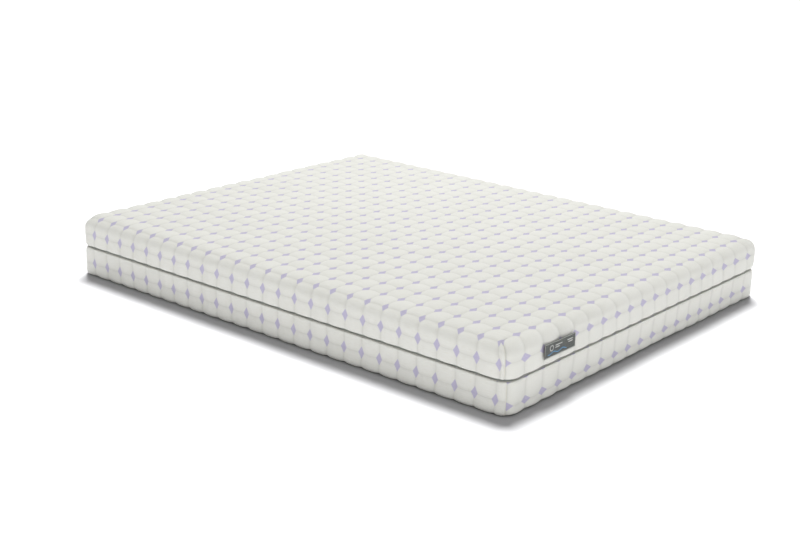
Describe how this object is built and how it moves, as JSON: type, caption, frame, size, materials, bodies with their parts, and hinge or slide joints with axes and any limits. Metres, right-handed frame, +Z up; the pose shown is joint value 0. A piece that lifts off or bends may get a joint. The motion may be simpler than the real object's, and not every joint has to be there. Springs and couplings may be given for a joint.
{
  "type": "memory foam mattress",
  "caption": "Free-standing rectangular foam mattress in a quilted two-part cover that zips apart around the middle, with a layered foam core and a woven label on one end.",
  "frame": {"origin": "centre of the underside, on the surface the mattress lies on", "axes": "+Z up, X along the length, Y along the width; the end with the label faces +X"},
  "size_m": [2, 1.6, 0.23],
  "materials": {
    "quilt_knit": "matte",
    "wadding": "matte",
    "backing": "matte",
    "zip_tape": "matte",
    "zip_coil": "satin",
    "zip_metal": "satin",
    "label": "satin",
    "memory_foam": "matte",
    "support_foam": "matte",
    "base_foam": "matte"
  },
  "bodies": {
    "lower_cover": {"lower_cover_face": "quilt_knit", "lower_cover_wadding": "wadding", "lower_cover_backing": "backing", "lower_zip_tape": "zip_tape", "lower_zip_coil": "zip_coil", "lower_zip_stops": "zip_metal"},
    "core": {"base_foam_layer": "base_foam", "zoned_support_layer": "support_foam", "memory_foam_layer": "memory_foam"},
    "upper_cover": {"upper_cover_face": "quilt_knit", "upper_cover_wadding": "wadding", "upper_cover_backing": "backing", "upper_zip_tape": "zip_tape", "upper_zip_coil": "zip_coil", "upper_zip_stops": "zip_metal", "label": "label"},
    "zip_slider": {"zip_slider_body": "zip_metal"},
    "zip_pull": {"zip_pull_tab": "zip_metal"}
  },
  "joints": [
    {"name": "core_lift", "type": "slide", "parent": "lower_cover", "child": "core", "axis": [0, 0, 1], "range_m": [0, 0.25]},
    {"name": "cover_lift", "type": "slide", "parent": "core", "child": "upper_cover", "axis": [0, 0, 1], "range_m": [0, 0.25]},
    {"name": "zip_run", "type": "slide", "parent": "lower_cover", "child": "zip_slider", "axis": [1, 0, 0], "range_m": [0, 1.8]},
    {"name": "pull_swing", "type": "hinge", "parent": "zip_slider", "child": "zip_pull", "pos_m": [-0.874, 0.7933, 0.115], "axis": [0, 0, 1], "range_deg": [0, 165]}
  ]
}
